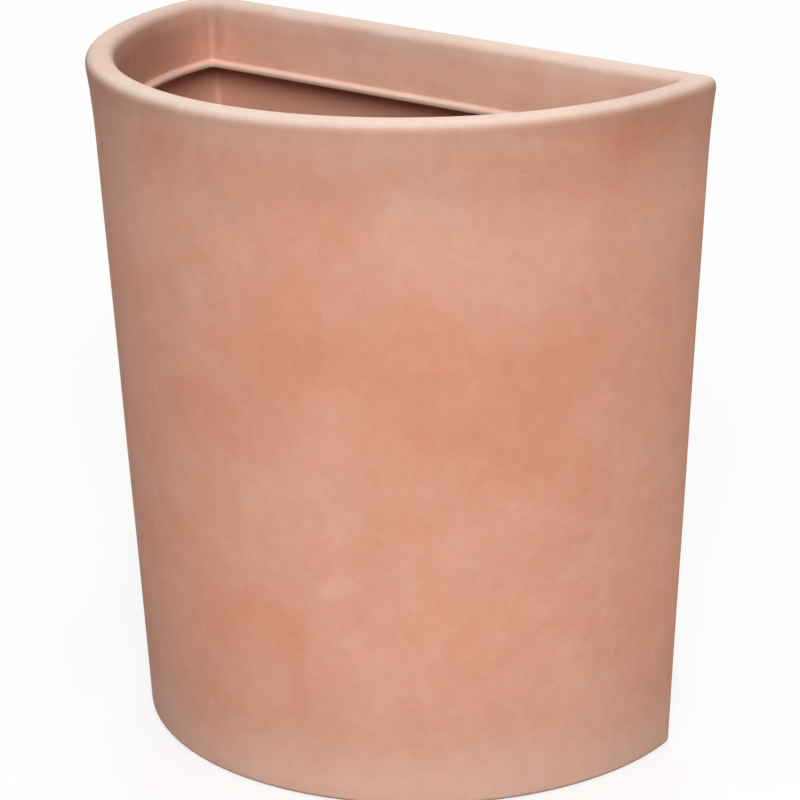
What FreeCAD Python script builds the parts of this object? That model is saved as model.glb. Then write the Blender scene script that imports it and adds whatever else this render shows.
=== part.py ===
"""Half-round wall planter: one rotationally moulded shell and two rubber drain plugs.

Millimetres. +Z is up and the planter stands on z = 0. The flat back faces +Y and the round front
faces -Y. The origin is under the middle of the planter's overall width and depth.
"""
import FreeCAD, Part
import os
from collections import namedtuple

# ---- overall form ---------------------------------------------------------------------------------
width = 500.0            # across the round front, where the rim starts to turn over
depth = 290.0            # from the flat back to the round front, at the same height
height = 530.0
foot_width = 442.0       # across the round front, where it meets the ground
back_lean = 9.0          # the foot of the flat back stands this far in front of its top
flare_height = 55.0      # the top stretch of the round wall, which opens outwards up to the rim
flare_out = 2.4          # how far it has opened there
foot_round = 4.0         # radius where the walls turn under

# ---- the moulding ---------------------------------------------------------------------------------
wall = 3.0
rim_width = 24.5         # from the outside of the wall to the face of the skirt
rim_round = 7.5          # radius on both edges of the rim
back_edge_margin = 1.0   # the two upright edges beside the flat back are rounder than the rim by this much
skirt_depth = 48.0       # from the rim down to the flange
skirt_draft = 1.5        # the skirt closes in by this much on its way down
flange_width = 10.0      # from the foot of the skirt to the routed edge
flange_round = 3.0       # hollow radius between the skirt and the flange
skirt_corner_margin = 2.0   # the upright corners of the skirt are rounder than that by this much

# ---- the base -------------------------------------------------------------------------------------
foot_ring_width = 24.0   # the band that the planter stands on
recess_height = 7.0      # how far the panel inside that band is lifted off the ground
recess_draft = 2.0       # the sides of the recess close in by this much on their way up
recess_corner_round = 14.0
recess_edge_round = 2.0  # along the foot of the recess and around its ceiling

# ---- the drains and their plugs -------------------------------------------------------------------
drain_radius = 10.0
drain_spacing = 220.0
drain_from_back = 110.0  # from the foot of the flat back
plug_fit = 0.05          # radial clearance of a plug in its hole
plug_seat_gap = 0.2      # left under the collar
plug_nose_length = 3.5   # below the panel
plug_nose_taper = 1.5
plug_collar_width = 6.0  # how far the collar reaches past the hole
plug_collar_height = 3.0
plug_neck_radius = 4.5
plug_neck_height = 6.0
plug_knob_radius = 8.0
plug_knob_height = 6.0
plug_edge_round = 1.0

# ---- places worked out from the sizes above -------------------------------------------------------
rim_radius = width / 2
foot_radius = foot_width / 2
back_y = depth / 2
foot_back_y = back_y - back_lean
rim_turn = height - rim_round        # the height at which the rim starts to turn over
flare_foot = rim_turn - flare_height
axis_y = rim_radius - depth / 2      # the upright line about which the front is round
skirt_foot = height - skirt_depth
panel_top = recess_height + wall
drain_y = foot_back_y - drain_from_back
drain_places = {"left": -drain_spacing / 2, "right": drain_spacing / 2}
back_edge_round = rim_round + back_edge_margin
skirt_corner_round = flange_round + skirt_corner_margin
hollow_round = max(rim_round - wall, wall / 2)   # inside the rim and around the floor, behind the wall

BEYOND = 2 * width       # how far the cutting blocks reach past the planter
CLOSE = 1e-5             # two places nearer than this are the same place
UP = FreeCAD.Vector(0, 0, 1)
ACROSS = FreeCAD.Vector(1, 0, 0)

# A level section of the planter: a circle about the axis, cut flat at back_y.
Section = namedtuple("Section", "z radius back_y")


def rim_section(z, inset):
    """The rim's outline, shrunk by an inset."""
    return Section(z, rim_radius - inset, back_y - inset)


def foot_section(z, inset):
    """The foot's outline, shrunk by an inset."""
    return Section(z, foot_radius - inset, foot_back_y - inset)


def body_section(z, inset):
    """The planter's outline at a height, shrunk by an inset. The flare opens with its height squared."""
    straight = foot_radius + (rim_radius - flare_out - foot_radius) * z / rim_turn
    flare = flare_out * (max(z - flare_foot, 0) / flare_height) ** 2
    lean = back_lean * (1 - z / rim_turn)
    return Section(z, straight + flare - inset, back_y - lean - inset)


def level_edges(shape, z):
    """The edges that lie level at a height."""
    return [edge for edge in shape.Edges
            if all(abs(point.z - z) < CLOSE
                   for point in (edge.firstVertex().Point, edge.lastVertex().Point, edge.CenterOfMass))]


def edges_on(edges, surface):
    """Those edges that lie on the surface of another shape."""
    return [edge for edge in edges
            if all(surface.distToShape(vertex)[0] < CLOSE for vertex in edge.Vertexes)]


def outline_point(section):
    """The foremost point of a section, measured from the planter's axis."""
    return FreeCAD.Vector(0, -section.radius, section.z)


def turned(side, low, high, corner_round):
    """A block turned about the planter's axis, cut flat behind, its two upright back edges rounded.

    side holds the curves of its outline between the sections low and high.
    """
    low_middle = FreeCAD.Vector(0, 0, low.z)
    high_middle = FreeCAD.Vector(0, 0, high.z)
    outline = [Part.LineSegment(low_middle, outline_point(low)), *side,
               Part.LineSegment(outline_point(high), high_middle),
               Part.LineSegment(high_middle, low_middle)]
    half = Part.Face(Part.Wire([curve.toShape() for curve in outline]))
    block = half.revolve(FreeCAD.Vector(0, 0, 0), UP, 360)
    block.translate(FreeCAD.Vector(0, axis_y, 0))

    slope = (high.back_y - low.back_y) / (high.z - low.z)
    corners = [FreeCAD.Vector(-BEYOND, low.back_y - slope * BEYOND, low.z - BEYOND),
               FreeCAD.Vector(-BEYOND, high.back_y + slope * BEYOND, high.z + BEYOND),
               FreeCAD.Vector(-BEYOND, high.back_y + BEYOND, high.z + BEYOND),
               FreeCAD.Vector(-BEYOND, low.back_y + BEYOND, low.z - BEYOND)]
    behind = Part.Face(Part.makePolygon(corners + corners[:1])).extrude(ACROSS * 2 * BEYOND)
    block = block.cut(behind)
    level = level_edges(block, low.z) + level_edges(block, high.z)
    upright = [edge for edge in edges_on(block.Edges, behind) if not any(edge.isSame(e) for e in level)]
    return block.makeFillet(corner_round, upright)


def level_slice(block, low_z, high_z):
    """The part of a block between two heights."""
    corner = FreeCAD.Vector(-BEYOND, -BEYOND, low_z)
    return block.common(Part.makeBox(2 * BEYOND, 2 * BEYOND, high_z - low_z, corner))


def section_between(low, high, z):
    """The section at a height, on the straight sides through two others."""
    share = (z - low.z) / (high.z - low.z)
    return Section(z, low.radius + (high.radius - low.radius) * share,
                   low.back_y + (high.back_y - low.back_y) * share)


def half_round(low, high, corner_round):
    """A half-round block with straight sides between two sections, sliced from a taller one.

    The taller block gives the rounding of its upright edges room to run out above and below.
    """
    lower = section_between(low, high, low.z - 2 * corner_round)
    higher = section_between(low, high, high.z + 2 * corner_round)
    side = Part.LineSegment(outline_point(lower), outline_point(higher))
    return level_slice(turned([side], lower, higher, corner_round), low.z, high.z)


def body_form(inset):
    """The planter's outer form, shrunk by an inset all over, and sliced from a taller one."""
    low = body_section(-back_edge_round, inset)
    bend = body_section(flare_foot, inset)
    high = body_section(height + back_edge_round, inset)
    middle = body_section((bend.z + high.z) / 2, inset)
    side = [Part.LineSegment(outline_point(low), outline_point(bend)),
            Part.Arc(outline_point(bend), outline_point(middle), outline_point(high))]
    return level_slice(turned(side, low, high, back_edge_round - inset), inset, height - inset)


def mouth_form(spread):
    """The space inside the skirt and above the flange, spread sideways and downwards."""
    foot_z = skirt_foot - spread
    top_z = height - spread
    draft = skirt_draft * (top_z - foot_z) / skirt_depth
    form = half_round(rim_section(foot_z, rim_width + draft - spread),
                      rim_section(top_z, rim_width - spread), skirt_corner_round + spread)
    return form.makeFillet(flange_round + spread, level_edges(form, foot_z))


def recess_form(spread):
    """The space under the panel and inside the foot ring, spread sideways and upwards."""
    form = half_round(foot_section(0, foot_ring_width - spread),
                      foot_section(recess_height + spread, foot_ring_width + recess_draft - spread),
                      recess_corner_round + spread)
    return form.makeFillet(recess_edge_round + spread, level_edges(form, recess_height + spread))


def planter_shell():
    """The moulding: an even wall all over, doubled over at the rim, with its mouth routed open."""
    outside = body_form(0.0)
    outside = outside.makeFillet(foot_round, level_edges(outside, 0.0))
    outside = outside.cut(mouth_form(0.0))
    outside = outside.makeFillet(rim_round, level_edges(outside, height))
    recess = recess_form(0.0)
    outside = outside.cut(recess)
    outside = outside.makeFillet(recess_edge_round, edges_on(level_edges(outside, 0.0), recess))

    hollow = body_form(wall).cut(mouth_form(wall))
    hollow = hollow.makeFillet(hollow_round, level_edges(hollow, height - wall) + level_edges(hollow, wall))
    hollow = hollow.cut(recess_form(wall))

    routed_inset = rim_width + skirt_draft + flange_width
    routed = half_round(rim_section(skirt_foot - 2 * wall, routed_inset),
                        rim_section(skirt_foot + wall, routed_inset), skirt_corner_round)
    shell = outside.cut([hollow, routed])
    for x in drain_places.values():
        shell = shell.cut(Part.makeCylinder(drain_radius, 2 * panel_top, FreeCAD.Vector(x, drain_y, 0), UP))
    return shell


def drain_plug(x):
    """A turned rubber bung: a shank in the hole, a collar on the panel, a neck and a knob to pull it by."""
    shank_radius = drain_radius - plug_fit
    collar_radius = drain_radius + plug_collar_width
    nose_foot = recess_height - plug_nose_length
    collar_foot = panel_top + plug_seat_gap
    collar_top = collar_foot + plug_collar_height
    knob_foot = collar_top + plug_neck_height
    knob_top = knob_foot + plug_knob_height
    corners = [(0, nose_foot), (shank_radius - plug_nose_taper, nose_foot), (shank_radius, recess_height),
               (shank_radius, collar_foot), (collar_radius, collar_foot), (collar_radius, collar_top),
               (plug_neck_radius, collar_top), (plug_neck_radius, knob_foot), (plug_knob_radius, knob_foot),
               (plug_knob_radius, knob_top), (0, knob_top), (0, nose_foot)]
    half = Part.Face(Part.makePolygon([FreeCAD.Vector(r, 0, z) for r, z in corners]))
    plug = half.revolve(FreeCAD.Vector(0, 0, 0), UP, 360)
    rounded = level_edges(plug, collar_top) + level_edges(plug, knob_foot) + level_edges(plug, knob_top)
    plug = plug.makeFillet(plug_edge_round, rounded)
    plug.translate(FreeCAD.Vector(x, drain_y, 0))
    return plug


pieces = {"planter_shell": planter_shell()}
for side, x in drain_places.items():
    pieces["drain_plug_" + side] = drain_plug(x)

os.makedirs("parts", exist_ok=True)
for name, shape in pieces.items():
    shape.exportStep("parts/" + name + ".step")
    print(name, len(shape.Solids), "solid,", "valid" if shape.isValid() else "not valid",
          round(shape.Volume / 1000, 1), "cm3")
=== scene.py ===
"""A half-round wall planter: a terracotta-coloured moulding with a chalky bloom, and two drain plugs.

Metres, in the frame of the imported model: +Z is up, the flat back faces +Y and the round front faces -Y.
"""
import math
from collections import namedtuple

import bmesh
import bpy
from mathutils import Matrix, Vector, noise


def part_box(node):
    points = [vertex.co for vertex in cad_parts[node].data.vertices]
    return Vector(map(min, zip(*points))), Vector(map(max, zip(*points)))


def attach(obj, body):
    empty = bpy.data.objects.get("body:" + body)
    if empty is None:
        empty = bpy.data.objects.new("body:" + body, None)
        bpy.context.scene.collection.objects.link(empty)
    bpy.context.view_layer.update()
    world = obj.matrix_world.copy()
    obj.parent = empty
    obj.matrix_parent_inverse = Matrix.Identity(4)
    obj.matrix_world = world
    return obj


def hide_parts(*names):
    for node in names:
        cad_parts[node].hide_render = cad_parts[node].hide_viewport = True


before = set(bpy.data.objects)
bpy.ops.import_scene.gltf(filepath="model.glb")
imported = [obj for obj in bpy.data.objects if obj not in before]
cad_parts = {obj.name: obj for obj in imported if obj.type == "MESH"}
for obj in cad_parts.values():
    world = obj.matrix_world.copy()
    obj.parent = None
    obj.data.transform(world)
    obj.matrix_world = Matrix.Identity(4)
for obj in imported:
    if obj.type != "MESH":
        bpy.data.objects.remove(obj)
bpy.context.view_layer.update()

MM = 0.001
FULL_TURN = 2 * math.pi
QUARTER = math.pi / 2

# ---- the shell -----------------------------------------------------------------------------------
LOW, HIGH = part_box("planter_shell")
RIM_RADIUS = 250 * MM          # the round front, where the rim starts to turn over
FOOT_RADIUS = 221 * MM
AXIS_Y = LOW.y + RIM_RADIUS    # the upright line about which the front is round
BACK_LEAN = 9 * MM             # the foot of the flat back stands this far in front of its top
FLARE_HEIGHT = 55 * MM
FLARE_OUT = 2.4 * MM
FOOT_ROUND = 4 * MM
WALL = 3 * MM
RIM_WIDTH = 22 * MM
RIM_ROUND = 7.5 * MM
BACK_EDGE_ROUND = 8.5 * MM
SKIRT_DEPTH = 48 * MM
SKIRT_DRAFT = 4 * MM
SKIRT_CORNER_ROUND = 5 * MM
FLANGE_WIDTH = 6 * MM
FLANGE_ROUND = 3 * MM
EDGE_BREAK = 0.35 * MM         # what the router leaves on the arris of its cut
FOOT_RING_WIDTH = 24 * MM
RECESS_HEIGHT = 7 * MM
RECESS_DRAFT = 2 * MM
RECESS_CORNER_ROUND = 14 * MM
RECESS_EDGE_ROUND = 2 * MM
DRAIN_RADIUS = 10 * MM

RIM_TURN = HIGH.z - RIM_ROUND
FLARE_FOOT = RIM_TURN - FLARE_HEIGHT
SKIRT_FOOT = HIGH.z - SKIRT_DEPTH
SKIRT_INSET = RIM_WIDTH + SKIRT_DRAFT          # of the skirt's face at its foot
CUT_INSET = SKIRT_INSET + FLANGE_WIDTH
PANEL_TOP = RECESS_HEIGHT + WALL
HOLLOW_ROUND = RIM_ROUND - WALL

ARC_STEPS = 150                # along the round front: 5 mm each
CORNER_STEPS = 7               # round each upright back edge
BACK_STEPS = 84                # along the flat back
WALL_STEPS = 44                # up the wall
BEND_STEPS = 7                 # round each rounded edge
FLAT_STEPS = 4                 # across the rim's flat top
SKIRT_STEPS = 8                # down the skirt
FLANGE_STEPS = 3               # across the flange
HOLE_STEPS = 48

SETTLE = 0.5 * MM              # the wall's gentle unevenness, as it cools in the mould
SETTLE_WAVE = 130 * MM         # its length
BACK_DRAW = 1.6 * MM           # how far the middle of the flat back is drawn in

# A level ring of the shell: a circle about the axis, cut flat at back, its two corners rounded.
Ring = namedtuple("Ring", "z radius back corner finish")


def shares(steps):
    """Evenly spaced shares from 0 to 1."""
    return [step / steps for step in range(steps + 1)]


def wall_ring(z, inset, finish):
    """The planter's outline at a height, shrunk by an inset. The flare opens with its height squared."""
    rise = z / RIM_TURN
    flare = FLARE_OUT * (max(z - FLARE_FOOT, 0) / FLARE_HEIGHT) ** 2
    radius = FOOT_RADIUS + (RIM_RADIUS - FLARE_OUT - FOOT_RADIUS) * rise + flare
    back = HIGH.y - BACK_LEAN * (1 - rise)
    return Ring(z, radius - inset, back - inset, BACK_EDGE_ROUND - inset, finish)


def rim_ring(z, inset, corner, finish):
    """The rim's outline, shrunk by an inset."""
    return Ring(z, RIM_RADIUS - inset, HIGH.y - inset, corner, finish)


def foot_ring(z, inset, corner, finish):
    """The foot's outline, shrunk by an inset."""
    return Ring(z, FOOT_RADIUS - inset, HIGH.y - BACK_LEAN - inset, corner, finish)


def mouth_corner(inset):
    """The rounding of the skirt's corners, which spreads evenly outwards from its face."""
    return SKIRT_CORNER_ROUND + SKIRT_INSET - inset


def recess_corner(inset):
    """The rounding of the recess's corners, which spreads evenly outwards from its side."""
    return RECESS_CORNER_ROUND + FOOT_RING_WIDTH - inset


def underside():
    """From the panel's lower face, down the side of the recess and across the foot ring to the wall."""
    ceiling = FOOT_RING_WIDTH + RECESS_DRAFT + RECESS_EDGE_ROUND
    for share in shares(BEND_STEPS):
        turn = QUARTER * share
        inset = ceiling - RECESS_EDGE_ROUND * math.sin(turn)
        z = RECESS_HEIGHT - RECESS_EDGE_ROUND * (1 - math.cos(turn))
        yield foot_ring(z, inset, recess_corner(inset), "skin")
    for share in shares(BEND_STEPS):
        turn = QUARTER * share
        inset = FOOT_RING_WIDTH - RECESS_EDGE_ROUND * (1 - math.cos(turn))
        z = RECESS_EDGE_ROUND * (1 - math.sin(turn))
        yield foot_ring(z, inset, recess_corner(inset), "skin")
    for share in shares(BEND_STEPS):
        turn = QUARTER * share
        inset = FOOT_ROUND * (1 - math.sin(turn))
        z = FOOT_ROUND * (1 - math.cos(turn))
        yield wall_ring(z, inset, "skin")


def outer_wall():
    """Up the wall, from the top of the foot's rounding to where the rim starts to turn over."""
    for share in shares(WALL_STEPS)[1:-1]:
        yield wall_ring(FOOT_ROUND + (RIM_TURN - RIM_ROUND / 4 - FOOT_ROUND) * share, 0, "skin")


def rim():
    """Over the rim: its outer rounding, tangent to the flared wall, its flat top and its inner rounding."""
    flare = math.atan((RIM_RADIUS - FLARE_OUT - FOOT_RADIUS) / RIM_TURN + 2 * FLARE_OUT / FLARE_HEIGHT)
    lean = math.atan(BACK_LEAN / RIM_TURN)
    for share in shares(BEND_STEPS):
        turn = -flare + (QUARTER + flare) * share
        z = RIM_TURN + RIM_ROUND * math.sin(turn)
        touch = wall_ring(RIM_TURN - RIM_ROUND * math.sin(flare), 0, "skin")
        radius = touch.radius - RIM_ROUND * (math.cos(flare) - math.cos(turn))
        behind = wall_ring(RIM_TURN - RIM_ROUND * math.sin(lean), 0, "skin")
        back = behind.back - RIM_ROUND * (math.cos(lean) - math.cos(max(turn, -lean)))
        corner = BACK_EDGE_ROUND - RIM_ROUND * (1 - math.cos(turn))
        yield Ring(z, radius, back, corner, "skin")
    inner_flat = RIM_WIDTH - RIM_ROUND
    outer_corner = BACK_EDGE_ROUND - RIM_ROUND
    for share in shares(FLAT_STEPS)[1:-1]:
        inset = RIM_ROUND + (inner_flat - RIM_ROUND) * share
        corner = outer_corner + (mouth_corner(inner_flat) - outer_corner) * share
        yield rim_ring(HIGH.z, inset, corner, "skin")
    for share in shares(BEND_STEPS):
        turn = QUARTER * share
        inset = inner_flat + RIM_ROUND * math.sin(turn)
        z = HIGH.z - RIM_ROUND * (1 - math.cos(turn))
        yield rim_ring(z, inset, mouth_corner(inset), "mouth")


def skirt_and_flange():
    """Down the skirt inside the mouth, and along the flange to the routed edge."""
    def skirt_inset(z):
        return RIM_WIDTH + SKIRT_DRAFT * (HIGH.z - z) / SKIRT_DEPTH
    round_top = SKIRT_FOOT + FLANGE_ROUND
    skirt_top = HIGH.z - RIM_ROUND
    for share in shares(SKIRT_STEPS)[1:-1]:
        z = skirt_top + (round_top - skirt_top) * share
        yield rim_ring(z, skirt_inset(z), SKIRT_CORNER_ROUND, "mouth")
    for share in shares(BEND_STEPS):
        turn = QUARTER * share
        inset = SKIRT_INSET + FLANGE_ROUND * (1 - math.cos(turn))
        corner = SKIRT_CORNER_ROUND - FLANGE_ROUND * (1 - math.cos(turn))
        yield rim_ring(round_top - FLANGE_ROUND * math.sin(turn), inset, corner, "mouth")
    for share in shares(FLANGE_STEPS)[1:]:
        inset = SKIRT_INSET + FLANGE_ROUND + (FLANGE_WIDTH - FLANGE_ROUND - EDGE_BREAK) * share
        yield rim_ring(SKIRT_FOOT, inset, SKIRT_CORNER_ROUND, "mouth")
    under = SKIRT_FOOT - WALL
    for z in (SKIRT_FOOT - EDGE_BREAK, SKIRT_FOOT - WALL / 2, under + EDGE_BREAK):
        yield rim_ring(z, CUT_INSET, SKIRT_CORNER_ROUND, "cut")
    yield rim_ring(under, CUT_INSET - EDGE_BREAK, SKIRT_CORNER_ROUND, "cut")


def hollow():
    """Under the flange, up behind the skirt, across under the rim, and down the wall's inner face."""
    under = SKIRT_FOOT - WALL
    bend = FLANGE_ROUND + WALL
    bend_inset = SKIRT_INSET + FLANGE_ROUND
    for share in shares(BEND_STEPS):
        turn = QUARTER * share
        inset = bend_inset - bend * math.sin(turn)
        yield rim_ring(under + bend * (1 - math.cos(turn)), inset, mouth_corner(inset), "inside")
    top = HIGH.z - WALL
    for share in shares(BEND_STEPS):
        turn = QUARTER * share
        inset = RIM_WIDTH - WALL - HOLLOW_ROUND * (1 - math.cos(turn))
        z = top - HOLLOW_ROUND * (1 - math.sin(turn))
        yield rim_ring(z, inset, mouth_corner(inset), "inside")
    for share in shares(BEND_STEPS):
        turn = QUARTER * share
        inset = WALL + HOLLOW_ROUND * (1 - math.sin(turn))
        yield wall_ring(top - HOLLOW_ROUND * (1 - math.cos(turn)), inset, "inside")
    floor_round_top = WALL + HOLLOW_ROUND
    for share in shares(WALL_STEPS)[1:-1]:
        z = top - HOLLOW_ROUND + (floor_round_top - top + HOLLOW_ROUND) * share
        yield wall_ring(z, WALL, "inside")


def floor_inside():
    """Round the foot of the wall, across the channel over the foot ring, and up onto the panel."""
    for share in shares(BEND_STEPS):
        turn = QUARTER * share
        inset = WALL + HOLLOW_ROUND * (1 - math.cos(turn))
        yield wall_ring(WALL + HOLLOW_ROUND * (1 - math.sin(turn)), inset, "inside")
    step_foot = FOOT_RING_WIDTH - WALL
    for lift in (0, EDGE_BREAK):
        inset = step_foot - EDGE_BREAK + lift
        yield foot_ring(WALL + lift, inset, recess_corner(inset), "inside")
    bend = RECESS_EDGE_ROUND + WALL
    step_top = step_foot + RECESS_DRAFT
    for share in shares(BEND_STEPS):
        turn = QUARTER * share
        inset = step_top + bend * (1 - math.cos(turn))
        z = PANEL_TOP - bend * (1 - math.sin(turn))
        yield foot_ring(z, inset, recess_corner(inset), "inside")


def settled(point):
    """Where a point of the wall lies once the moulding has cooled: a little drawn in, never out."""
    height = max(0.0, min(1.0, point.z / RIM_TURN))
    free = math.sin(math.pi * height) ** 0.5     # the rim and the foot hold the wall in place
    wave = SETTLE * (0.5 + 0.5 * noise.noise(point / SETTLE_WAVE)) * free
    outwards = Vector((point.x, point.y - AXIS_Y, 0)).normalized()
    place = point - outwards * wave
    if point.y > AXIS_Y:
        across = max(0.0, 1 - (point.x / RIM_RADIUS) ** 2)
        behind = min(1.0, (point.y - AXIS_Y) / (HIGH.y - BACK_LEAN - WALL - AXIS_Y))
        place.y -= BACK_DRAW * across * behind ** 3 * free ** 2
    return place


def outline(ring):
    """The ring's points: round the front from left to right, a corner, the back and the other corner."""
    half_depth = ring.back - AXIS_Y
    corner_y = half_depth - ring.corner
    corner_x = math.sqrt((ring.radius - ring.corner) ** 2 - corner_y ** 2)
    tangent = math.atan2(corner_y, corner_x)
    points = []
    for step in range(ARC_STEPS):
        turn = math.pi - tangent + (math.pi + 2 * tangent) * step / ARC_STEPS
        points.append((ring.radius * math.cos(turn), ring.radius * math.sin(turn)))
    for step in range(CORNER_STEPS):
        turn = tangent + (QUARTER - tangent) * step / CORNER_STEPS
        points.append((corner_x + ring.corner * math.cos(turn), corner_y + ring.corner * math.sin(turn)))
    for step in range(BACK_STEPS):
        points.append((corner_x - 2 * corner_x * step / BACK_STEPS, half_depth))
    for step in range(CORNER_STEPS):
        turn = QUARTER + (QUARTER - tangent) * step / CORNER_STEPS
        points.append((ring.corner * math.cos(turn) - corner_x, corner_y + ring.corner * math.sin(turn)))
    return [settled(Vector((x, y + AXIS_Y, ring.z))) for x, y in points]


def shell_piece(name, finishes):
    """The moulding, drawn ring by ring from the underside of its panel to the top of it."""
    mesh = bmesh.new()
    rings = [*underside(), *outer_wall(), *rim(), *skirt_and_flange(), *hollow(), *floor_inside()]
    count = ARC_STEPS + BACK_STEPS + 2 * CORNER_STEPS
    loop = bmesh.ops.create_circle(mesh, segments=count, radius=FOOT_RADIUS)["verts"]
    for vertex, point in zip(loop, outline(rings[0])):
        vertex.co = point
    first = list(mesh.edges)
    edges = first
    for ring in rings[1:]:
        made = bmesh.ops.extrude_edge_only(mesh, edges=edges)["geom"]
        new = {item for item in made if isinstance(item, bmesh.types.BMVert)}
        edges = [item for item in made if isinstance(item, bmesh.types.BMEdge)
                 and all(vertex in new for vertex in item.verts)]
        for face in (item for item in made if isinstance(item, bmesh.types.BMFace)):
            face.material_index = finishes.index(ring.finish)
        loop = [next(edge.other_vert(vertex) for edge in vertex.link_edges
                     if edge.other_vert(vertex) in new) for vertex in loop]
        for vertex, point in zip(loop, outline(ring)):
            vertex.co = point
    panel(mesh, first, edges, finishes)
    bmesh.ops.recalc_face_normals(mesh, faces=mesh.faces)
    return piece_from(mesh, name)


def panel(mesh, lower_rim, upper_rim, finishes):
    """The panel's two faces with the drain holes through them."""
    lower = [circle_at(mesh, plug_centre(side), RECESS_HEIGHT) for side in PLUG_SIDES]
    upper = [circle_at(mesh, plug_centre(side), PANEL_TOP) for side in PLUG_SIDES]
    for rim_edges, circles, finish in ((lower_rim, lower, "skin"), (upper_rim, upper, "inside")):
        filled = bmesh.ops.triangle_fill(mesh, use_beauty=True, edges=rim_edges + sum(circles, []))["geom"]
        for face in (item for item in filled if isinstance(item, bmesh.types.BMFace)):
            face.material_index = finishes.index(finish)
    for below, above in zip(lower, upper):
        for face in bmesh.ops.bridge_loops(mesh, edges=below + above)["faces"]:
            face.material_index = finishes.index("cut")


def circle_at(mesh, centre, z):
    """The edges of a drain hole's circle."""
    place = Matrix.Translation((centre.x, centre.y, z))
    made = bmesh.ops.create_circle(mesh, segments=HOLE_STEPS, radius=DRAIN_RADIUS, matrix=place)["verts"]
    return list({edge for vertex in made for edge in vertex.link_edges})


def piece_from(mesh, name):
    """An object made from a finished bmesh, smooth all over."""
    data = bpy.data.meshes.new(name)
    for face in mesh.faces:
        face.smooth = True
    mesh.to_mesh(data)
    mesh.free()
    piece = bpy.data.objects.new(name, data)
    bpy.context.scene.collection.objects.link(piece)
    return piece


# ---- the drain plugs -----------------------------------------------------------------------------
PLUG_SIDES = ("left", "right")
PLUG_FIT = 0.05 * MM           # radial clearance in the hole
PLUG_SEAT_GAP = 0.2 * MM       # left under the collar
PLUG_SHANK_RADIUS = DRAIN_RADIUS - PLUG_FIT
PLUG_NOSE_TAPER = 1.5 * MM
PLUG_SEAT = PANEL_TOP + PLUG_SEAT_GAP
PLUG_COLLAR_HEIGHT = 3 * MM
PLUG_NECK_RADIUS = 4.5 * MM
PLUG_NECK_ROUND = 1.2 * MM     # the hollow rounding where the neck meets the collar and the knob
PLUG_KNOB_RADIUS = 8 * MM
PLUG_KNOB_HEIGHT = 6 * MM
PLUG_EDGE_ROUND = 1 * MM
PLUG_EDGE_BREAK = 0.3 * MM
PLUG_STEPS = 64
SAME_PLACE = MM / 100          # points of a turned piece nearer than this are one


def plug_centre(side):
    """The middle of a plug's box in the frame."""
    low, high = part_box("drain_plug_" + side)
    return (low + high) / 2


def rounded(corners):
    """The points of an outline with rounded corners. Each corner is (radius, height, rounding)."""
    points = []
    for index, (radius, z, rounding) in enumerate(corners):
        corner = Vector((radius, z))
        if not rounding:
            points.append(corner)
            continue
        before = (Vector(corners[index - 1][:2]) - corner).normalized()
        after = (Vector(corners[index + 1][:2]) - corner).normalized()
        half = before.angle(after) / 2
        middle = corner + (before + after).normalized() * rounding / math.sin(half)
        start = (corner + before * rounding / math.tan(half) - middle).normalized()
        end = (corner + after * rounding / math.tan(half) - middle).normalized()
        for share in shares(BEND_STEPS):
            points.append(middle + start.slerp(end, share) * rounding)
    return points


def plug_piece(side):
    """A turned rubber bung: a tapered nose, a shank, a collar on the panel, a neck and a knob."""
    low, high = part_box("drain_plug_" + side)
    collar = (high.x - low.x) / 2
    nose = PLUG_SHANK_RADIUS - PLUG_NOSE_TAPER
    collar_top = PLUG_SEAT + PLUG_COLLAR_HEIGHT
    knob_foot = high.z - PLUG_KNOB_HEIGHT
    profile = rounded([
        (0, low.z, 0),
        (nose, low.z, PLUG_EDGE_BREAK),
        (PLUG_SHANK_RADIUS, RECESS_HEIGHT, 0),
        (PLUG_SHANK_RADIUS, PLUG_SEAT, 0),
        (collar, PLUG_SEAT, PLUG_EDGE_BREAK),
        (collar, collar_top, PLUG_EDGE_ROUND),
        (PLUG_NECK_RADIUS, collar_top, PLUG_NECK_ROUND),
        (PLUG_NECK_RADIUS, knob_foot, PLUG_NECK_ROUND),
        (PLUG_KNOB_RADIUS, knob_foot, PLUG_EDGE_ROUND),
        (PLUG_KNOB_RADIUS, high.z, PLUG_EDGE_ROUND),
        (0, high.z, 0),
    ])
    mesh = bmesh.new()
    middle = Vector((plug_centre(side).x, plug_centre(side).y, 0))
    line = [mesh.verts.new(middle + Vector((radius, 0, z))) for radius, z in profile]
    edges = [mesh.edges.new(pair) for pair in zip(line, line[1:])]
    bmesh.ops.spin(mesh, geom=line + edges, cent=middle, axis=(0, 0, 1), angle=FULL_TURN, steps=PLUG_STEPS,
                   use_merge=True)
    bmesh.ops.remove_doubles(mesh, verts=mesh.verts, dist=SAME_PLACE)
    bmesh.ops.recalc_face_normals(mesh, faces=mesh.faces)
    return piece_from(mesh, "drain_plug_turned_" + side)


# ---- the finishes --------------------------------------------------------------------------------
TERRACOTTA = "D99072"          # the pigmented plastic
CHALK = "ECD1C0"               # the bloom on it, where it lies thickest
BARE_PLASTIC = "C9957F"
ROUTED_PLASTIC = "BA9F92"
RUBBER = "242425"
AGED_RUBBER = "393836"
DRIFT = 70 * MM                # how far noise pulls the edges of the chalk's patches about
GRAIN = 2.2 * MM
GRAIN_DEPTH = 0.03 * MM

# Where the rim's chalk is rubbed off, and where its tone is lower: at its far left and its right end.
# Each is (middle, reach along X, Y and Z, value), in mm.
RIM_WORN = [((-200, -50, 530), (260, 200, 45), -0.20), ((235, 60, 530), (130, 130, 45), -0.15)]
RIM_SHADE = [((-215, 110, 530), (420, 420, 45), -0.17), ((240, 100, 530), (170, 130, 45), -0.08)]


def linear(hex_colour):
    """An sRGB hex colour as linear RGBA."""
    parts = [int(hex_colour[i:i + 2], 16) / 255 for i in (0, 2, 4)]
    return (*[p / 12.92 if p <= 0.04045 else ((p + 0.055) / 1.055) ** 2.4 for p in parts], 1.0)


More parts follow.
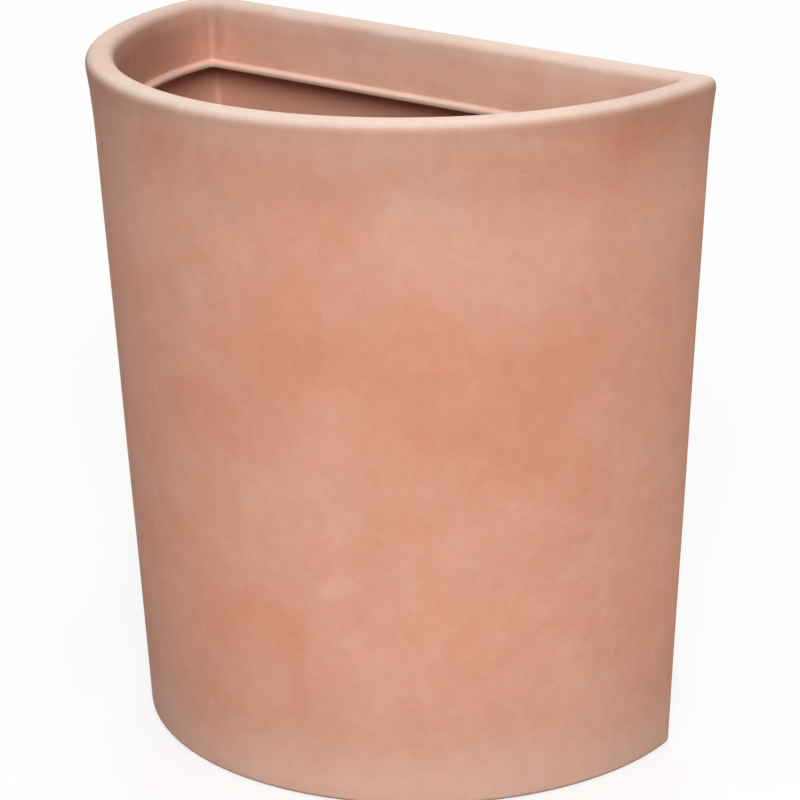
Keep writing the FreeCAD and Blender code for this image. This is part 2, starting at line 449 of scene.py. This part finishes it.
def add_node(tree, kind, sockets=None, **settings):
    """A new shader node with its settings. A socket gets a value, or a link from another node."""
    node = tree.nodes.new("ShaderNode" + kind)
    for key, value in settings.items():
        setattr(node, key, value)
    for key, value in (sockets or {}).items():
        if isinstance(value, bpy.types.NodeSocket):
            tree.links.new(value, node.inputs[key])
        else:
            node.inputs[key].default_value = value
    return node


def new_material(name):
    """A material with an empty tree, and its output node."""
    material = bpy.data.materials.new(name)
    material.use_nodes = True
    material.node_tree.nodes.clear()
    return material, material.node_tree, add_node(material.node_tree, "OutputMaterial")


def sum_of(tree, parts):
    """The sum of several values."""
    total = parts[0]
    for part in parts[1:]:
        total = add_node(tree, "Math", {0: total, 1: part}, operation="ADD").outputs[0]
    return total


def pattern(tree, place, size, depth, detail=3.0, roughness=0.6, distortion=0.3):
    """Fractal noise of a given size, from about -depth to depth."""
    noise_node = add_node(tree, "TexNoise", {"Vector": place, "Scale": 1 / size, "Detail": detail,
                                             "Roughness": roughness, "Distortion": distortion})
    return add_node(tree, "MapRange", {"Value": noise_node.outputs[0], "From Min": 0.3, "From Max": 0.7,
                                       "To Min": -depth, "To Max": depth}, clamp=False).outputs[0]


def bands(tree, height, ragged, steps):
    """Values that come in between two heights.

    Each step is (the height where it starts, where it is full, its value, how far it wanders), in mm.
    """
    parts = []
    for start, full, value, wander in steps:
        level = add_node(tree, "Math", {0: ragged, 1: wander * MM, 2: height},
                         operation="MULTIPLY_ADD").outputs[0]
        parts.append(add_node(tree, "MapRange", {"Value": level, "From Min": start * MM,
                                                 "From Max": full * MM, "To Min": 0.0, "To Max": value},
                              interpolation_type="SMOOTHSTEP").outputs[0])
    return parts


def patches(tree, place, spots):
    """Soft patches. Each spot is (its middle, how far it reaches along X, Y and Z, its value), in mm."""
    parts = []
    for middle, reach, value in spots:
        within = add_node(tree, "Mapping", {"Vector": place, "Location": Vector(middle) * MM,
                                            "Scale": Vector(reach) * MM}, vector_type="TEXTURE").outputs[0]
        away = add_node(tree, "VectorMath", {0: within}, operation="LENGTH").outputs["Value"]
        parts.append(add_node(tree, "MapRange", {"Value": away, "From Min": 1.0, "From Max": 0.25,
                                                 "To Min": 0.0, "To Max": value},
                              interpolation_type="SMOOTHSTEP").outputs[0])
    return parts


def specks(tree, place, spacing, radius, share, value):
    """Scattered specks of about one radius; share of the cells of the spacing hold one."""
    cells = add_node(tree, "TexVoronoi", {"Vector": place, "Scale": 1 / spacing, "Randomness": 1.0})
    pick = add_node(tree, "SeparateColor", {0: cells.outputs["Color"]}).outputs[0]
    chosen = add_node(tree, "Math", {0: pick, 1: share}, operation="LESS_THAN").outputs[0]
    reach = radius / spacing
    dot = add_node(tree, "MapRange", {"Value": cells.outputs["Distance"], "From Min": reach,
                                      "From Max": reach / 3, "To Min": 0.0, "To Max": value}).outputs[0]
    return add_node(tree, "Math", {0: dot, 1: chosen}, operation="MULTIPLY").outputs[0]


def bloomed_polyethylene(name, chalk_steps, tone_steps, chalk_spots, tone_spots):
    """Matt rotomoulded polyethylene, terracotta right through, with a chalky bloom rubbed over it.

    The chalk lies in soft clouds with a fine mottle; the tone of both varies a little as well, and the tone
    steps and spots it is given carry painted shade.
    """
    material, tree, output = new_material(name)
    place = add_node(tree, "TexCoord").outputs["Object"]
    height = add_node(tree, "SeparateXYZ", {0: place}).outputs["Z"]
    ragged = pattern(tree, place, 45 * MM, 1.0, detail=2.0)
    drift = add_node(tree, "TexNoise", {"Vector": place, "Scale": 1 / (80 * MM), "Detail": 3.0}).outputs[1]
    drifted = add_node(tree, "VectorMath", {0: drift, 1: (DRIFT,) * 3, 2: place},
                       operation="MULTIPLY_ADD").outputs[0]
    centred = add_node(tree, "VectorMath", {0: drifted, 1: (DRIFT / 2,) * 3},
                       operation="SUBTRACT").outputs[0]
    chalk = sum_of(tree, [pattern(tree, place, 150 * MM, 0.06), pattern(tree, place, 60 * MM, 0.06),
                          pattern(tree, place, 16 * MM, 0.055, detail=5.0, roughness=0.8),
                          specks(tree, place, 17 * MM, 0.9 * MM, 0.35, 0.4),
                          *bands(tree, height, ragged, chalk_steps), *patches(tree, centred, chalk_spots)])
    amount = add_node(tree, "Clamp", {0: chalk, 1: 0.0, 2: 1.0}).outputs[0]
    colour = add_node(tree, "Mix", {0: amount, 6: linear(TERRACOTTA), 7: linear(CHALK)},
                      data_type="RGBA").outputs[2]
    tone = sum_of(tree, [pattern(tree, place, 42 * MM, 0.03),
                         pattern(tree, place, 9 * MM, 0.03, detail=4.0, roughness=0.75),
                         specks(tree, place, 31 * MM, 0.8 * MM, 0.4, -0.22),
                         *bands(tree, height, ragged, tone_steps), *patches(tree, place, tone_spots)])
    tone = add_node(tree, "Math", {0: tone, 1: 1.0}, operation="ADD").outputs[0]
    toned = add_node(tree, "Mix", {0: 1.0, 6: colour, 7: tone}, data_type="RGBA",
                     blend_type="MULTIPLY").outputs[2]
    grain = add_node(tree, "TexNoise", {"Vector": place, "Scale": 1 / GRAIN, "Detail": 3.0,
                                        "Roughness": 0.6}).outputs[0]
    relief = add_node(tree, "Bump", {"Height": grain, "Distance": GRAIN_DEPTH, "Strength": 1.0}).outputs[0]
    shader = add_node(tree, "BsdfPrincipled", {"Base Color": toned, "Roughness": 0.75, "IOR": 1.45,
                                               "Normal": relief})
    tree.links.new(shader.outputs[0], output.inputs[0])
    return material


def skin():
    """The outside: chalkier on the rim's crown and round the foot, with painted shade under the rim and a
    painted contact shadow along the foot's rounding.
    """
    return bloomed_polyethylene(
        "bloomed_polyethylene",
        [(-2, -1, 0.205, 0), (523.5, 528, 0.70, 0.3), (495, 523, 0.16, 4), (70, 0, 0.26, 6)],
        # Tone steps: painted shade under the rim, from 430 mm up into the rim's outer rounding, which the
        # third step lifts off the crown again; then a little darker towards the foot.
        [(430, 495, -0.10, 8), (505, 524, -0.10, 0), (526, 529.5, 0.20, 0), (150, 20, -0.10, 0),
         # The last tone step is a painted contact shadow: the lowest 4 mm, the foot's rounding, darkened
         # where it meets the floor.
         (4, 0.5, -0.35, 0)],
        [((76, -122, 363), (75, 75, 75), -0.12), ((150, -78, 335), (80, 80, 80), -0.12),
         ((208, -10, 337), (70, 90, 60), -0.11), ((-26, -130, 303), (60, 60, 50), -0.10),
         ((193, -32, 290), (60, 60, 50), -0.07), ((248, 90, 470), (40, 60, 90), 0.09),
         ((19, -122, 130), (55, 55, 55), -0.11), ((242, 56, 495), (60, 60, 40), -0.05),
         ((-84, -123, 443), (70, 70, 110), 0.09), ((43, -123, 223), (70, 70, 70), 0.09),
         ((-13, -137, 429), (80, 80, 80), 0.06), ((165, -74, 445), (70, 70, 70), 0.08),
         ((103, -103, 231), (30, 30, 24), 0.14), ((86, -108, 173), (24, 24, 18), 0.12),
         ((-17, -135, 390), (26, 26, 14), 0.12), *RIM_WORN],
        RIM_SHADE)


def mouth():
    """The mouth: the rim's chalk thins out down the skirt, and lies again on the flange. Painted shade
    darkens the inner rounding and the skirt, most towards the flange, and the skirt's left end and
    back-left corner.
    """
    return bloomed_polyethylene(
        "bloomed_polyethylene_in_the_mouth",
        [(-2, -1, 0.41, 0), (522, 530.5, 0.45, 1.5), (508, 524, 0.17, 4), (485, 482.5, 0.30, 0.3)],
        # Tone steps: painted shade down the inner rounding and, more of it, down the skirt towards the
        # flange; the last step lifts most of it off the flange's top.
        [(529.5, 524, -0.08, 0), (508, 486, -0.13, 2), (485.5, 483, 0.16, 0)],
        # The first chalk spot leaves the skirt's left end redder: partly thinner bloom, partly painted
        # shade with the reddish light bounced inside the mouth.
        [((-224, 60, 490), (120, 120, 60), -0.15), ((165, 120, 527), (80, 80, 40), 0.10),
         ((225, 119, 510), (70, 70, 40), 0.08), *RIM_WORN],
        # Tone spots after the rim's: painted shade on the skirt's left end, on the flange's left end below
        # it, and in the skirt's back-left corner.
        [*RIM_SHADE, ((-225, 40, 505), (150, 90, 26), -0.20), ((-225, 40, 480), (150, 90, 26), -0.10),
         ((-222, 122, 505), (16, 16, 40), -0.16)])


def plain_polyethylene(name, colour, roughness):
    """The same plastic, even all over."""
    material, tree, output = new_material(name)
    shader = add_node(tree, "BsdfPrincipled", {"Base Color": linear(colour), "Roughness": roughness,
                                               "IOR": 1.5})
    tree.links.new(shader.outputs[0], output.inputs[0])
    return material


def bare_polyethylene():
    """The plastic on the inner side, which never touched the mould and has no bloom."""
    return plain_polyethylene("bare_polyethylene", BARE_PLASTIC, 0.6)


def routed_polyethylene():
    """The plastic where a router has cut it: greyer, because the cut whitens it."""
    return plain_polyethylene("routed_polyethylene", ROUTED_PLASTIC, 0.75)


def moulded_rubber():
    """Moulded black rubber, matt, with the faint grey bloom that it gets with age."""
    material, tree, output = new_material("moulded_rubber")
    place = add_node(tree, "TexCoord").outputs["Object"]
    dust = add_node(tree, "TexNoise", {"Vector": place, "Scale": 1 / (6 * MM), "Detail": 4.0}).outputs[0]
    colour = add_node(tree, "Mix", {0: dust, 6: linear(RUBBER), 7: linear(AGED_RUBBER)},
                      data_type="RGBA").outputs[2]
    shader = add_node(tree, "BsdfPrincipled", {"Base Color": colour, "Roughness": 0.62, "IOR": 1.52})
    tree.links.new(shader.outputs[0], output.inputs[0])
    return material


# ---- floor, light and camera ---------------------------------------------------------------------
FLOOR_REACH = 12.0
FLOOR_GAP = 0.1 * MM           # keeps the floor just clear of the foot
FLOOR_GLOW = 0.7               # how much of the floor's own white is seen; the rest takes shadows
FLOOR_LIT = "949494"           # what the floor throws back at the planter
FLOOR_SEEN = "FCFCFC"
AMBIENT = 0.15                 # the surround's light on the planter
CAMERA_TURN = 39.388           # degrees
CAMERA_RISE = 19.278
CAMERA_ROLL = -0.946
CAMERA_DISTANCE = 2.362
CAMERA_LENS = 142.0            # mm, on a sensor of the width below
SENSOR_WIDTH = 36.0
AIM = Vector((55.47, 10.47, 281.1)) * MM


def seen_ray(tree):
    """1 for the rays that show a surface: those of the camera, of a reflection and through glass."""
    rays = add_node(tree, "LightPath").outputs
    seen = add_node(tree, "Math", {0: rays["Is Camera Ray"], 1: rays["Is Glossy Ray"]},
                    operation="ADD", use_clamp=True).outputs[0]
    return add_node(tree, "Math", {0: seen, 1: rays["Is Transmission Ray"]},
                    operation="ADD", use_clamp=True).outputs[0]


def floor_and_world():
    """A plain pale floor and an even pale surround, both seen as white."""
    mesh = bmesh.new()
    bmesh.ops.create_grid(mesh, x_segments=1, y_segments=1, size=FLOOR_REACH)
    floor = piece_from(mesh, "floor")
    floor.location.z = -FLOOR_GAP
    material, tree, output = new_material("white_studio_floor")
    seen = seen_ray(tree)
    share = add_node(tree, "Math", {0: seen, 1: FLOOR_GLOW}, operation="MULTIPLY").outputs[0]
    pale = add_node(tree, "Mix", {0: seen, 6: linear(FLOOR_LIT), 7: linear(FLOOR_SEEN)},
                    data_type="RGBA").outputs[2]
    matt = add_node(tree, "BsdfDiffuse", {"Color": pale})
    glow = add_node(tree, "Emission", {"Color": (1, 1, 1, 1), "Strength": 1.0})
    blend = add_node(tree, "MixShader", {0: share, 1: matt.outputs[0], 2: glow.outputs[0]})
    tree.links.new(blend.outputs[0], output.inputs[0])
    floor.data.materials.append(material)

    world = bpy.data.worlds.new("pale_studio")
    bpy.context.scene.world = world
    world.use_nodes = True
    tree = world.node_tree
    tree.nodes.clear()
    seen = seen_ray(tree)
    ambient = add_node(tree, "Background", {"Color": (1, 1, 1, 1), "Strength": AMBIENT})
    white = add_node(tree, "Background", {"Color": (1, 1, 1, 1), "Strength": 1.0})
    blend = add_node(tree, "MixShader", {0: seen, 1: ambient.outputs[0], 2: white.outputs[0]})
    tree.links.new(blend.outputs[0], add_node(tree, "OutputWorld").inputs[0])


def direction(turn, rise):
    """The unit vector towards a place seen from the planter: turned right from -Y, and raised."""
    turn, rise = math.radians(turn), math.radians(rise)
    return Vector((math.sin(turn) * math.cos(rise), -math.cos(turn) * math.cos(rise), math.sin(rise)))


def soft_light(name, turn, rise, spread, level):
    """A soft light from one side. level is how bright it makes a white wall that faces it."""
    light = bpy.data.lights.new(name, "SUN")
    light.angle = math.radians(spread)
    light.energy = level * math.pi
    lamp = bpy.data.objects.new(name, light)
    bpy.context.scene.collection.objects.link(lamp)
    lamp.rotation_euler = direction(turn, rise).to_track_quat("Z", "Y").to_euler()


def camera():
    """The camera that took the photograph, as fitted to the planter's outline in it."""
    away = direction(CAMERA_TURN, CAMERA_RISE)
    across = Vector((0, 0, 1)).cross(away).normalized()
    upwards = away.cross(across)
    view = Matrix((across, upwards, away)).transposed().to_4x4()
    roll = Matrix.Rotation(math.radians(CAMERA_ROLL), 4, "Z")
    lens = bpy.data.cameras.new("camera")
    lens.lens = CAMERA_LENS
    lens.sensor_width = SENSOR_WIDTH
    seen_from = bpy.data.objects.new("camera", lens)
    bpy.context.scene.collection.objects.link(seen_from)
    seen_from.matrix_world = Matrix.Translation(AIM + away * CAMERA_DISTANCE) @ view @ roll
    bpy.context.scene.camera = seen_from


# ---- the scene -----------------------------------------------------------------------------------
FINISHES = {"skin": skin, "mouth": mouth, "inside": bare_polyethylene, "cut": routed_polyethylene}
shell = shell_piece("planter_shell_moulding", list(FINISHES))
for make in FINISHES.values():
    shell.data.materials.append(make())
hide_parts("planter_shell")
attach(shell, "planter")

rubber = moulded_rubber()
for side in PLUG_SIDES:
    plug = plug_piece(side)
    plug.data.materials.append(rubber)
    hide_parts("drain_plug_" + side)
    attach(plug, side + "_plug")

camera()
floor_and_world()
soft_light("key", CAMERA_TURN, 30, 25, 0.83)
soft_light("overhead", CAMERA_TURN, 80, 35, 0.25)
soft_light("back_fill", CAMERA_TURN + 180, 30, 40, 0.34)
bpy.context.scene.view_settings.view_transform = "Standard"
